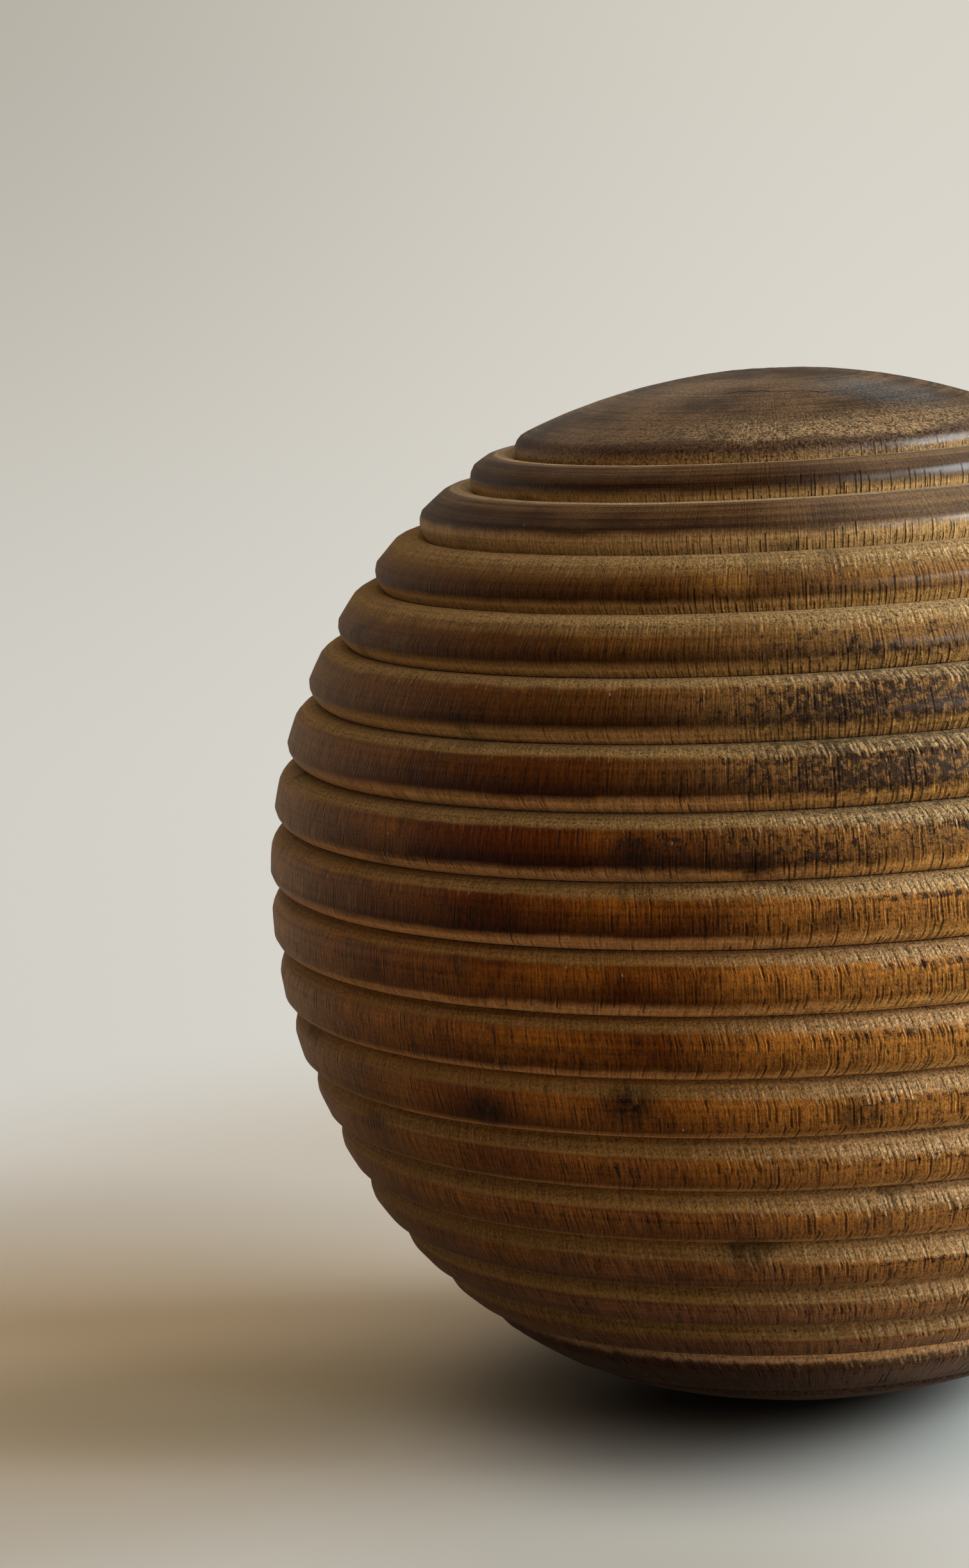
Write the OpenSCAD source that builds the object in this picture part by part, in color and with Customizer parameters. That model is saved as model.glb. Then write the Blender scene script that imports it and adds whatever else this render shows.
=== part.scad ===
// Ribbed wooden ball, turned in one piece between centres.
// Rounded beads run round it between two crowned caps, and it stands on a
// small flat in the middle of the lower cap.  The turning axis is along Z,
// and the middle of the flat is at the origin.  The outline is drawn once,
// about the middle of the ball, as a half section in radius and height.
// Angles are latitudes: 0 at the middle of the ball, 90 at its upper pole
// and -90 at its lower one.

/* [Ball] */
// Diameter over the beads at the middle of the ball
ball_d = 100; // [60:1:160]
// Height from pole to pole, over the two crowned caps
ball_h = 98.4; // [60:0.2:160]
// How much of the fullness left by hand turning the outline has
hand_turned = 1; // [0:0.1:1.5]

/* [Caps] */
// Angle from a pole out to the groove round its cap
cap_angle = 30; // [22:1:38]
// Radius of the rounded rim of a cap
rim_r = 1.8; // [1:0.1:3]
// Diameter of the flat on the lower cap that the ball stands on
foot_d = 14; // [10:1:20]

/* [Beads] */
// Number of beads between the two caps
bead_count = 17; // [9:1:20]
// Angle taken up by the narrow bead under the upper cap
neck_bead = 6; // [5:0.1:8]
// Angle taken up by the wide bead above the lower cap
foot_bead = 10; // [6:0.1:12]
// How much narrower the lowest of the other beads is than the highest
bead_taper = 1.2; // [0:0.1:2]

/* [Bead profile] */
// Depth of the groove between two beads
groove_depth = 2; // [1.2:0.1:2.6]
// Width of the upper shoulder of a bead, from its groove to its face
upper_w = 2.3; // [1.4:0.1:2.8]
// Radius of the upper shoulder of a bead
upper_r = 2.8; // [2.2:0.1:6]
// Width of the lower shoulder of a bead, from its face to its groove
lower_w = 1.5; // [1:0.1:1.8]
// Radius of the lower shoulder of a bead
lower_r = 2.1; // [1.8:0.1:5]

/* [Hidden] */
half_d = ball_d / 2;
half_h = ball_h / 2;
last = bead_count - 1;
cap_edge = 90 - cap_angle;
even_bead = (2 * cap_edge - neck_bead - foot_bead) / (bead_count - 2);
bead_step = bead_taper / (bead_count - 3);
// Fullness of the hand-turned outline, as [angle, how far it stands out]
fullness = [[60, 0.9], [45, 0.7], [15, 0.3], [-5, -0.05], [-22, -0.25],
            [-35, 0.6], [-60, 1.25]];
// The turned arcs cross each other cleanly: a shoulder's cut reaches this far
// on to the face, and a rim stands this far proud of its crown
grip = 0.2;
proud = 0.02;
// How far the cuts reach out past the ball
air = 2 * groove_depth;

// Point at radius r and angle a, as [radius, height]
function polar(r, a) = r * [cos(a), sin(a)];
// Angle that a length s takes up on a circle of radius r
function arc_angle(s, r) = s / r * 180 / PI;
// Unit vector along v
function unit(v) = v / norm(v);
// Centre of the arc of radius r that runs down from p to q and bulges outwards
function arc_centre(p, q, r) =
    let (v = q - p, h = sqrt(r * r - v * v / 4))
    (p + q) / 2 + h * unit([v[1], -v[0]]);
// Radius r of a shoulder w wide, or the least one that neither undercuts the
// bead at its groove nor stands up over its face
function shoulder_r(w, r) =
    let (span = pow(w, 2) + pow(groove_depth, 2))
    max(r, span / (2 * w), 1.1 * span / (2 * groove_depth));

// Radius of the smooth ball at angle a: an ellipse, and the fullness on it
function ball_r(a) =
    half_d * half_h / norm([half_h * cos(a), half_d * sin(a)])
    + hand_turned * lookup(a, fullness);
// Angle taken up by bead i, where bead 0 is under the upper cap
function bead_angle(i) =
    i == 0 ? neck_bead
    : i == last ? foot_bead
    : even_bead + bead_taper / 2 - bead_step * (i - 1);
// Angle of the groove above bead i
function groove_at(i) = i == 0 ? cap_edge : groove_at(i - 1) - bead_angle(i - 1);

grooves = [for (i = [0 : bead_count]) groove_at(i)];
roots = [for (a = grooves) polar(ball_r(a) - groove_depth, a)];
bead_r = [for (i = [0 : last]) ball_r((grooves[i] + grooves[i + 1]) / 2)];
// Radii that the two shoulders of a bead are turned to
upper_arc = shoulder_r(upper_w, upper_r);
lower_arc = shoulder_r(lower_w, lower_r);

// The caps are drawn as if both were at the top, and the lower one is then
// mirrored.  Their end is 1 for the upper cap and -1 for the lower one.
rim_depth = max(rim_r, groove_depth);
rim_off = sqrt(pow(rim_r, 2) - pow(rim_depth - groove_depth, 2));
// Radius of the smooth ball at the groove round a cap
function cap_r(end) = ball_r(end * cap_edge);
// Centre of a cap's rim, which is a circle through the root of the groove
function rim_centre(end) =
    polar(cap_r(end) - rim_depth, cap_edge + arc_angle(rim_off, cap_r(end)));
// Radius of a cap's crown, which is one arc from the pole down to the rim
function crown_radius(end) =
    let (c = rim_centre(end), inner = rim_r - proud)
    (pow(c[0], 2) + pow(half_h - c[1], 2) - pow(inner, 2))
    / (2 * (half_h - c[1] - inner));
foot_crown_r = crown_radius(-1);
// How far the flat on the lower cap is below the middle of the ball
foot_level = half_h - foot_crown_r
    + sqrt(pow(foot_crown_r, 2) - pow(foot_d / 2, 2));

// Wedge of the half section between the angles a and b
module wedge(a, b) {
    polygon([[0, 0], polar(ball_d, a), polar(ball_d, b)]);
}

// A cap before its groove is cut, a little way into the bead beside it
module cap_blank(end) {
    lap = arc_angle(grip, half_d);
    crown_r = crown_radius(end);
    intersection() {
        translate([0, half_h - crown_r]) circle(r = crown_r, $fn = 360);
        wedge(90, cap_edge - lap);
    }
}

// Bead i before its grooves are cut, a little way into its neighbours
module bead_blank(i) {
    lap = arc_angle(grip, half_d);
    intersection() {
        circle(r = bead_r[i], $fn = 360);
        wedge(grooves[i] + lap, grooves[i + 1] - lap);
    }
}

// What the tool takes out at one groove.  The cut starts at p, above the
// groove, and ends at q, below it; up and down are the outward directions
// there.  The rounded edges that it leaves are circles about p_c and q_c.
module groove_cut(root, p, up, p_c, p_r, q, down, q_c, q_r) {
    bottom = root + grip * unit(unit(p_c - root) + unit(q_c - root));
    difference() {
        polygon([bottom, p, p + air * up, q + air * down, q]);
        translate(p_c) circle(r = p_r, $fn = 120);
        translate(q_c) circle(r = q_r, $fn = 120);
    }
}

// Groove between bead i - 1 and bead i
module bead_groove(i) {
    face = polar(bead_r[i - 1], grooves[i] + arc_angle(lower_w, bead_r[i - 1]));
    next = polar(bead_r[i], grooves[i] - arc_angle(upper_w, bead_r[i]));
    p = polar(bead_r[i - 1], grooves[i] + arc_angle(lower_w + grip, bead_r[i - 1]));
    q = polar(bead_r[i], grooves[i] - arc_angle(upper_w + grip, bead_r[i]));
    groove_cut(roots[i],
               p, unit(p), arc_centre(face, roots[i], lower_arc), lower_arc,
               q, unit(q), arc_centre(roots[i], next, upper_arc), upper_arc);
}

// Groove round a cap, where the bead beside it has radius r and a shoulder w
// wide, of radius arc
module cap_groove(end, r, w, arc) {
    root = polar(cap_r(end) - groove_depth, cap_edge);
    rim_c = rim_centre(end);
    rim_out = unit(rim_c - [0, half_h - crown_radius(end)]);
    next = polar(r, cap_edge - arc_angle(w, r));
    p = rim_c + (rim_r - proud / 2) * rim_out;
    q = polar(r, cap_edge - arc_angle(w + grip, r));
    groove_cut(root,
               p, rim_out, rim_c, rim_r,
               q, unit(q), arc_centre(root, next, arc), arc);
}

// Half section of the ball, in radius and height
module ball_section() {
    difference() {
        union() {
            cap_blank(1);
            mirror([0, 1]) cap_blank(-1);
            for (i = [0 : last]) bead_blank(i);
        }
        for (i = [1 : last]) bead_groove(i);
        cap_groove(1, bead_r[0], upper_w, upper_arc);
        mirror([0, 1]) cap_groove(-1, bead_r[last], lower_w, lower_arc);
        translate([-ball_d, -ball_h]) square([ball_d, 2 * ball_h]);
        translate([0, -foot_level - ball_h]) square([ball_d, ball_h]);
    }
}

// The ball as it comes off the lathe
module turned_ball() {
    color("saddlebrown")
        translate([0, 0, foot_level])
            rotate_extrude($fn = 180) ball_section();
}

turned_ball();
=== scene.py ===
"""A ribbed wooden ball, turned in one piece: its surface, its finish, the table and the light."""

import math
from types import SimpleNamespace

import bpy
import numpy as np
from mathutils import Matrix, Vector


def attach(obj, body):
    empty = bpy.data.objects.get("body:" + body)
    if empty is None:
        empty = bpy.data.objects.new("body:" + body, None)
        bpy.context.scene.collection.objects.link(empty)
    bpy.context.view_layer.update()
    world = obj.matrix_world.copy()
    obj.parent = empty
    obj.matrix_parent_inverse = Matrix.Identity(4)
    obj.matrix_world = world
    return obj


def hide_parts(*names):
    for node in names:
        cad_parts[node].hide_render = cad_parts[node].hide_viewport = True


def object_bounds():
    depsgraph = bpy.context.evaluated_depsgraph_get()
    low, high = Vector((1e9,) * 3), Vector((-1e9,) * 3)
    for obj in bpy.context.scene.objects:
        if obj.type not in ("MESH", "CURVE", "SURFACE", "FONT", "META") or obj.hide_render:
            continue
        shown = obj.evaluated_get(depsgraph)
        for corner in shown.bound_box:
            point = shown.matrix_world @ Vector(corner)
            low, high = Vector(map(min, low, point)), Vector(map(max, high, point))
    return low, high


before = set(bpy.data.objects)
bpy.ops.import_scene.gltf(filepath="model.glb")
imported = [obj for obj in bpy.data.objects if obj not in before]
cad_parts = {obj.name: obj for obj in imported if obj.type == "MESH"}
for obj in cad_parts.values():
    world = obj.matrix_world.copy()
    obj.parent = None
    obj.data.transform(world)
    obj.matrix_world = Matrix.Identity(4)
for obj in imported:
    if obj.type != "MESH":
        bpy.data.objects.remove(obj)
cad_low, cad_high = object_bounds()

# Sizes in millimetres and angles in degrees, the same as in the part's source
BALL_D, BALL_H = 100.0, 98.4
CAP_ANGLE, RIM_R, FOOT_D = 30.0, 1.8, 14.0
BEADS, NECK_BEAD, FOOT_BEAD, BEAD_TAPER = 17, 6.0, 10.0, 1.2
GROOVE_DEPTH = 2.0
UPPER_W, UPPER_R = 2.3, 2.8
LOWER_W, LOWER_R = 1.5, 2.1
# How far a cap's rim stands proud of its crown
PROUD = 0.02
# How far the turner left the ball proud of an ellipse: pairs of latitude and millimetres
FULLNESS = [(60, 0.9), (45, 0.7), (15, 0.3), (-5, -0.05), (-22, -0.25), (-35, 0.6), (-60, 1.25)]

HALF_D, HALF_H, CAP_EDGE = BALL_D / 2, BALL_H / 2, 90 - CAP_ANGLE

# How finely the surface is laid out: steps down each part of the profile, and steps round the ball
CROWN_ROWS, RIM_ROWS = 22, 6
SHOULDER_ROWS, FACE_ROWS, LIP_ROWS = 6, 4, 4
COLUMNS = 336

# The slow and the fine unevenness left by the gouge: how deep, in millimetres, and how many waves
# there are down the profile and round the ball
SLOW_WAVES = (0.035, 18, 11)
FINE_WAVES = (0.020, 150, 60)
# Chips along each side of a groove: how many, how far above and below it they sit and how much
# that varies, their least and greatest width and depth, and their height, all in millimetres
CHIPS, CHIPS_ABOVE, CHIPS_BELOW, CHIPS_STRAY = 5, 2.6, 3.1, 0.25
CHIP_WIDTH, CHIP_DEPTH, CHIP_HEIGHT = (0.5, 1.4), (0.05, 0.2), 0.45
WEAR_SEED = 17

# A distance from a groove that is past every band, for a cap's side that has no groove
NO_GROOVE = 40.0
# The bare edge left round the ball's surface when it is laid out flat, as a share of the sheet
FLAT_EDGE = 0.002


# ------------------------------------------------------------------ the turned profile

def polar(r, angle):
    """Point at radius r and latitude angle, as (radius, height)."""
    return r * np.array([math.cos(math.radians(angle)), math.sin(math.radians(angle))])


def smooth_ball(angle):
    """Radius of the smooth ball: an ellipse's, plus the fullness on straight lines between its pairs."""
    a = math.radians(angle)
    ellipse = HALF_D * HALF_H / math.hypot(HALF_H * math.cos(a), HALF_D * math.sin(a))
    spots = sorted(FULLNESS)
    return ellipse + float(np.interp(angle, [s[0] for s in spots], [s[1] for s in spots]))


def arc(p, q, r, steps):
    """Points on the arc of radius r from p down to q that bulges outwards.

    Its centre lies on the chord's middle line, at the height that makes both ends r away.
    """
    p, q = np.asarray(p, float), np.asarray(q, float)
    v = q - p
    h = math.sqrt(r * r - v @ v / 4)
    centre = (p + q) / 2 + h * np.array([v[1], -v[0]]) / np.linalg.norm(v)
    return round_about(centre, r, p, q, steps)


def round_about(centre, r, p, q, steps):
    """Points on the circle about centre from the direction of p to that of q, evenly in angle."""
    start = math.atan2(p[1] - centre[1], p[0] - centre[0])
    end = math.atan2(q[1] - centre[1], q[0] - centre[0])
    t = np.linspace(start, end, steps + 1)
    return centre + r * np.stack([np.cos(t), np.sin(t)], axis=1)


def bead_edges():
    """Latitudes of the grooves: a narrow bead first, a wide one last, even ones between that taper."""
    even = (2 * CAP_EDGE - NECK_BEAD - FOOT_BEAD) / (BEADS - 2)
    step = BEAD_TAPER / (BEADS - 3)
    widths = [even + BEAD_TAPER / 2 - step * (i - 1) for i in range(BEADS)]
    widths[0], widths[-1] = NECK_BEAD, FOOT_BEAD
    return CAP_EDGE - np.concatenate([[0], np.cumsum(widths)])


def cap_profile(end):
    """Points of a cap drawn at the top, from its pole to its groove, and its crown's radius.

    The crown is one arc about a centre on the axis; the rim is a circle through the groove's root.
    """
    edge = smooth_ball(end * CAP_EDGE)
    depth = max(RIM_R, GROOVE_DEPTH)
    off = math.sqrt(RIM_R ** 2 - (depth - GROOVE_DEPTH) ** 2)
    rim = polar(edge - depth, CAP_EDGE + math.degrees(off / edge))
    inner = RIM_R - PROUD
    crown_r = (rim[0] ** 2 + (HALF_H - rim[1]) ** 2 - inner ** 2) / (2 * (HALF_H - rim[1] - inner))
    centre = np.array([0, HALF_H - crown_r])
    meet = rim + RIM_R * (rim - centre) / np.linalg.norm(rim - centre)
    spread = math.atan2(meet[0], meet[1] - centre[1])
    t = spread * np.linspace(0, 1, CROWN_ROWS + 1) ** 0.8
    crown = centre + crown_r * np.stack([np.sin(t), np.cos(t)], axis=1)
    root = polar(edge - GROOVE_DEPTH, CAP_EDGE)
    return np.concatenate([crown, round_about(rim, RIM_R, meet, root, RIM_ROWS)[1:]]), crown_r


def turned_profile():
    """The whole half section from the upper pole to the middle of the foot, and the groove rows.

    Each bead is an upper shoulder arc, a stretch of a circle about the ball's middle, and a lower
    shoulder arc.  The lower cap ends in a flat, cut where the crown is half the foot's width out.
    """
    edges = bead_edges()
    upper, _ = cap_profile(1)
    lower, crown_r = cap_profile(-1)
    rows, groove_rows = [upper], [len(upper) - 1]
    for i in range(BEADS):
        r = smooth_ball((edges[i] + edges[i + 1]) / 2)
        root = polar(smooth_ball(edges[i]) - GROOVE_DEPTH, edges[i])
        after = polar(smooth_ball(edges[i + 1]) - GROOVE_DEPTH, edges[i + 1])
        top, foot = edges[i] - math.degrees(UPPER_W / r), edges[i + 1] + math.degrees(LOWER_W / r)
        face = np.array([polar(r, a) for a in np.linspace(top, foot, FACE_ROWS + 1)])
        rows.append(arc(root, face[0], UPPER_R, SHOULDER_ROWS)[1:])
        rows.append(face[1:])
        rows.append(arc(face[-1], after, LOWER_R, LIP_ROWS)[1:])
        groove_rows.append(groove_rows[-1] + SHOULDER_ROWS + FACE_ROWS + LIP_ROWS)
    foot_level = HALF_H - crown_r + math.sqrt(crown_r ** 2 - (FOOT_D / 2) ** 2)
    under = lower[::-1][1:] * [1, -1]
    # The crown's points inside the foot, and any that would crowd its edge, are left out
    kept = under[under[:, 0] > FOOT_D / 2 + 0.2]
    rows += [kept, [[FOOT_D / 2, -foot_level], [FOOT_D / 4, -foot_level], [0, -foot_level]]]
    return np.concatenate(rows), np.array(groove_rows), foot_level


# ------------------------------------------------------------------ what turning and wear left on it

def even_noise(rng, down, around, rows, columns):
    """Smooth noise from -1 to 1 that closes round the ball: lattice values joined by a smooth step."""
    lattice = rng.uniform(-1, 1, (down + 2, around))
    v = np.asarray(rows) * down
    u = np.asarray(columns) * around
    vi, ui = np.floor(v).astype(int), np.floor(u).astype(int)
    vf, uf = v - vi, u - ui
    vf, uf = vf * vf * (3 - 2 * vf), uf * uf * (3 - 2 * uf)
    left, right = ui % around, (ui + 1) % around
    upper = lattice[vi][:, left] * (1 - uf) + lattice[vi][:, right] * uf
    lower = lattice[vi + 1][:, left] * (1 - uf) + lattice[vi + 1][:, right] * uf
    return upper * (1 - vf)[:, None] + lower * vf[:, None]


def wear(profile, groove_rows, along, turn):
    """How far each point is sunk below the turned profile, in millimetres.

    It adds a slow unevenness from the gouge, a finer one, and chips: each chip is a bell in the
    distance round the ball times a bell in the distance along the profile, at an edge of a bead.
    """
    rng = np.random.default_rng(WEAR_SEED)
    share = along / along[-1]
    sunk = np.zeros((len(along), len(turn)))
    for deep, down, around in (SLOW_WAVES, FINE_WAVES):
        sunk += deep * (1 + even_noise(rng, down, around, share, turn))
    radius = profile[:, 0]
    for i in range(BEADS + 1):
        groove = along[groove_rows[i]]
        for side, reach in ((-1, CHIPS_ABOVE), (1, CHIPS_BELOW)):
            for _ in range(CHIPS):
                spot, width = rng.uniform(0, 1), rng.uniform(*CHIP_WIDTH)
                depth, place = rng.uniform(*CHIP_DEPTH), groove + side * rng.normal(reach, CHIPS_STRAY)
                away = (turn - spot + 0.5) % 1 - 0.5
                near = np.abs(along - place) < 2
                bell = np.exp(-((along[near] - place) / CHIP_HEIGHT) ** 2)[:, None]
                wide = away[None, :] * 2 * math.pi * radius[near][:, None]
                sunk[near] += depth * bell * np.exp(-(wide / width) ** 2)
    return sunk


def ball_places(profile, groove_rows, foot_level, along, turn):
    """The surface's points in metres: the upper pole, the rows from the top down, the lower pole.

    A point is the profile at that row, sunk along the profile's normal by the wear, turned round
    the axis by the column's angle.
    """
    slope = np.gradient(profile, along, axis=0)
    normal = np.stack([-slope[:, 1], slope[:, 0]], axis=1)
    normal /= np.linalg.norm(normal, axis=1)[:, None]
    sunk = wear(profile, groove_rows, along, turn)
    # The foot stays flat, and the upper pole is one point
    sunk[profile[:, 1] < -foot_level + 0.001] = 0
    sunk[0] = sunk[0].mean()
    r = profile[:, :1] - normal[:, :1] * sunk
    h = profile[:, 1:] - normal[:, 1:] * sunk
    h = np.maximum(h, -foot_level)
    angle = 2 * math.pi * turn
    points = np.stack([r * np.cos(angle), r * np.sin(angle), h + foot_level], axis=2)
    inner = points[1:-1].reshape(-1, 3)
    places = np.concatenate([[[0, 0, points[0, 0, 2]]], inner, [[0, 0, 0]]]) / 1000
    places[:, 2] = np.maximum(places[:, 2], cad_low[2])
    return places


def ball_faces(bands):
    """The faces' corners: a fan round the upper pole, that many bands, a fan round the lower pole."""
    row = np.arange(bands)[:, None]
    column = np.arange(COLUMNS)
    after = (column + 1) % COLUMNS
    a = 1 + row * COLUMNS + column
    b = 1 + row * COLUMNS + after
    quads = np.stack([a, a + COLUMNS, b + COLUMNS, b], axis=2).reshape(-1, 4)
    top = np.stack([np.zeros(COLUMNS, int), 1 + column, 1 + after], axis=1)
    last = 1 + bands * COLUMNS
    pole = last + COLUMNS
    base = np.stack([np.full(COLUMNS, pole), last + after, last + column], axis=1)
    return top.tolist() + quads.tolist() + base.tolist()


def corner_spots(bands):
    """For each corner of the faces: the strip its face is in, its own row, and its turn from 0 to 1."""
    strip = np.concatenate([np.zeros(COLUMNS, int), np.repeat(np.arange(bands) + 1, COLUMNS),
                            np.full(COLUMNS, bands + 1)])
    corner_strip = np.repeat(strip, [3] * COLUMNS + [4] * (bands * COLUMNS) + [3] * COLUMNS)
    column = np.arange(COLUMNS)[:, None]
    quad_rows = np.repeat(np.arange(bands) + 1, COLUMNS)[:, None] + [[0, 1, 1, 0]]
    quad_turn = np.tile(column, (bands, 1)) + [[0, 0, 1, 1]]
    top_rows = np.tile([0, 1, 1], (COLUMNS, 1))
    top_turn = column + [[0.5, 0, 1]]
    base_rows = np.tile([bands + 2, bands + 1, bands + 1], (COLUMNS, 1))
    base_turn = column + [[0.5, 1, 0]]
    corner_row = np.concatenate([top_rows.ravel(), quad_rows.ravel(), base_rows.ravel()])
    corner_turn = np.concatenate([top_turn.ravel(), quad_turn.ravel(), base_turn.ravel()]) / COLUMNS
    return corner_strip, corner_row, corner_turn


def crease(mesh, groove_rows, bands):
    """Marks the edges along the grooves' roots and round the foot as sharp."""
    ends = np.zeros(len(mesh.edges) * 2, int)
    mesh.edges.foreach_get("vertices", ends)
    edge_rows = (ends.reshape(-1, 2) - 1) // COLUMNS + 1
    creases = np.concatenate([groove_rows, [bands]])
    sharp = (edge_rows[:, 0] == edge_rows[:, 1]) & np.isin(edge_rows[:, 0], creases)
    mesh.attributes.new("sharp_edge", "BOOLEAN", "EDGE").data.foreach_set("value", sharp)


def build_ball():
    """The ball as one closed surface, and the height of its middle above the table in metres.

    Each corner carries its distances along the surface from the groove above and to the groove
    below, in millimetres, and the number of its bead: -1 on the upper cap, BEADS on the lower.
    """
    profile, groove_rows, foot_level = turned_profile()
    along = np.concatenate([[0], np.cumsum(np.linalg.norm(np.diff(profile, axis=0), axis=1))])
    turn = np.arange(COLUMNS) / COLUMNS
    places = ball_places(profile, groove_rows, foot_level, along, turn)
    bands = len(profile) - 3
    mesh = bpy.data.meshes.new("ribbed_ball")
    mesh.from_pydata(places.tolist(), [], ball_faces(bands))

    corner_strip, corner_row, corner_turn = corner_spots(bands)
    bead = np.searchsorted(groove_rows, corner_strip, side="right") - 1
    starts = np.concatenate([along[groove_rows], [along[-1]]])
    ends = starts[np.minimum(bead + 1, BEADS + 1)]
    from_above = np.where(bead < 0, NO_GROOVE, along[corner_row] - starts[np.maximum(bead, 0)])
    to_below = np.where(bead > BEADS - 1, NO_GROOVE, ends - along[corner_row])
    measures = {"from_groove_above": from_above, "to_groove_below": to_below, "bead": bead}
    for name, values in measures.items():
        numbers = mesh.attributes.new(name, "FLOAT", "CORNER")
        numbers.data.foreach_set("value", values.astype(np.float32))
    flat = mesh.uv_layers.new(name="OFBake")
    uv = np.stack([corner_turn, 1 - along[corner_row] / along[-1]], axis=1)
    flat.data.foreach_set("uv", (FLAT_EDGE + (1 - 2 * FLAT_EDGE) * uv).astype(np.float32).ravel())

    mesh.polygons.foreach_set("use_smooth", np.ones(len(mesh.polygons), bool))
    crease(mesh, groove_rows, bands)
    mesh.validate()
    ball = bpy.data.objects.new("ribbed_ball", mesh)
    bpy.context.scene.collection.objects.link(ball)
    return ball, foot_level / 1000


# ------------------------------------------------------------------ how finishes are put together

class Value:
    """A shader value.  Arithmetic on it adds the Math nodes that work it out."""

    def __init__(self, finish, socket):
        self.finish = finish
        self.socket = socket

    def other(self, name):
        """Another output of the same node."""
        return Value(self.finish, self.socket.node.outputs[name])

    def maths(self, operation, *parts):
        return self.finish.node("ShaderNodeMath", {"operation": operation}, dict(enumerate(parts)))

    def __add__(self, more):
        return self.maths("ADD", self, more)

    __radd__ = __add__

    def __sub__(self, less):
        return self.maths("SUBTRACT", self, less)

    def __rsub__(self, whole):
        return self.maths("SUBTRACT", whole, self)

    def __mul__(self, by):
        return self.maths("MULTIPLY", self, by)

    __rmul__ = __mul__

    def __truediv__(self, by):
        return self.maths("DIVIDE", self, by)

    def __neg__(self):
        return self.maths("MULTIPLY", self, -1)

    def __abs__(self):
        return self.maths("ABSOLUTE", self)

    def cosine(self):
        return self.maths("COSINE", self)

    def least(self, other):
        return self.maths("MINIMUM", self, other)

    def most(self, other):
        return self.maths("MAXIMUM", self, other)

    def rise(self, low, high):
        """0 below low, 1 above high, and a smooth step between."""
        return self.finish.node("ShaderNodeMapRange", {"interpolation_type": "SMOOTHSTEP"},
                                {"Value": self, "From Min": low, "From Max": high})

    def fall(self, low, high):
        """1 below low, 0 above high, and a smooth step between."""
        return 1 - self.rise(low, high)


class Finish:
    """The node tree of a material or of the world, and the one method that adds nodes to it."""

    def __init__(self, owner):
        owner.use_nodes = True
        self.owner = owner
        self.tree = owner.node_tree
        self.tree.nodes.clear()

    def node(self, kind, settings=None, inputs=None, output=0):
        """Adds a node: its settings first, then the numbers or links of its sockets."""
        made = self.tree.nodes.new(kind)
        for name, setting in (settings or {}).items():
            setattr(made, name, setting)
        for name, given in (inputs or {}).items():
            if isinstance(given, Value):
                self.tree.links.new(given.socket, made.inputs[name])
            else:
                made.inputs[name].default_value = given
        return Value(self, made.outputs[output]) if made.outputs else made

    def attribute(self, name):
        """A number that the mesh carries under that name."""
        return self.node("ShaderNodeAttribute", {"attribute_name": name}, {}, "Fac")

    def vector(self, operation, first, second):
        """Vector Math on a vector or colour."""
        place = "Scale" if operation == "SCALE" else 1
        return self.node("ShaderNodeVectorMath", {"operation": operation}, {0: first, place: second})

    def mix(self, share, plain, other, blend="MIX"):
        """The colour plain, with that share of the colour other."""
        return self.node("ShaderNodeMix", {"data_type": "RGBA", "blend_type": blend},
                         {0: share, 6: plain, 7: other}, 2)

    def noise(self, place, fineness, detail=2.0, roughness=0.5):
        """Even noise about 0, from about -0.5 to 0.5, with that many waves to the millimetre by axis."""
        stretched = self.vector("MULTIPLY", place, fineness)
        waves = self.node("ShaderNodeTexNoise", {"noise_dimensions": "3D"}, {
            "Vector": stretched, "Scale": 1.0, "Detail": detail, "Roughness": roughness})
        return waves - 0.5

    def cells(self, across, up, wide, tall):
        """Irregular cells of about that size in millimetres.

        Gives how far across and up from its cell's point a place is, and two random values of the cell.
        """
        place = self.node("ShaderNodeCombineXYZ", {}, {0: across / wide, 1: up / tall})
        point = self.node("ShaderNodeTexVoronoi", {"voronoi_dimensions": "2D"},
                          {"Vector": place, "Scale": 1.0, "Randomness": 1.0}, "Position")
        off = self.node("ShaderNodeSeparateXYZ", {}, {0: self.vector("SUBTRACT", place, point)})
        chance = self.node("ShaderNodeSeparateColor", {}, {0: point.other("Color")})
        return off.other("X") * wide, off.other("Y") * tall, chance, chance.other("Green")

    def blot(self, place, centre, size, full=0.2):
        """1 within that share of an ellipsoid of that size about centre, fading to 0 at its edge."""
        off = self.vector("DIVIDE", self.vector("SUBTRACT", place, centre), size)
        return self.vector("LENGTH", off, off).other("Value").fall(full, 1.0)


def colour(r, g, b):
    return (r, g, b, 1.0)


# ------------------------------------------------------------------ colours and places of the wood

# Colours are linear red, green and blue.  Where there are two, the first is for the well kept side
# of the ball, or for the dark places, and the second for the dry side, or for the light places.

# The beads' stained faces, from the caps downwards, and what lies over them, with dust and painted sheen
# on the left
FACE_STAIN = colour(0.062, 0.014, 0.001), colour(0.235, 0.090, 0.014)
FACE_SHADOW = colour(0.040, 0.013, 0.002)
UPPER_FACE = colour(0.088, 0.041, 0.008), colour(0.188, 0.108, 0.034)
LOW_FACE = colour(0.155, 0.062, 0.024)
LOWEST_FACE = colour(0.110, 0.052, 0.029)
DRY_FACE = colour(0.32, 0.165, 0.045)
SMOKED_FACE = colour(0.15, 0.092, 0.038)
STREAKS = colour(0.024, 0.007, 0.001), colour(0.080, 0.040, 0.014)
DRY_STREAKS = colour(0.29, 0.187, 0.098)
DUST_VEIL = colour(0.150, 0.092, 0.038)
FACE_FOOT = colour(0.013, 0.003, 0.001)
TOP_LINE = colour(0.36, 0.26, 0.135)

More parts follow.
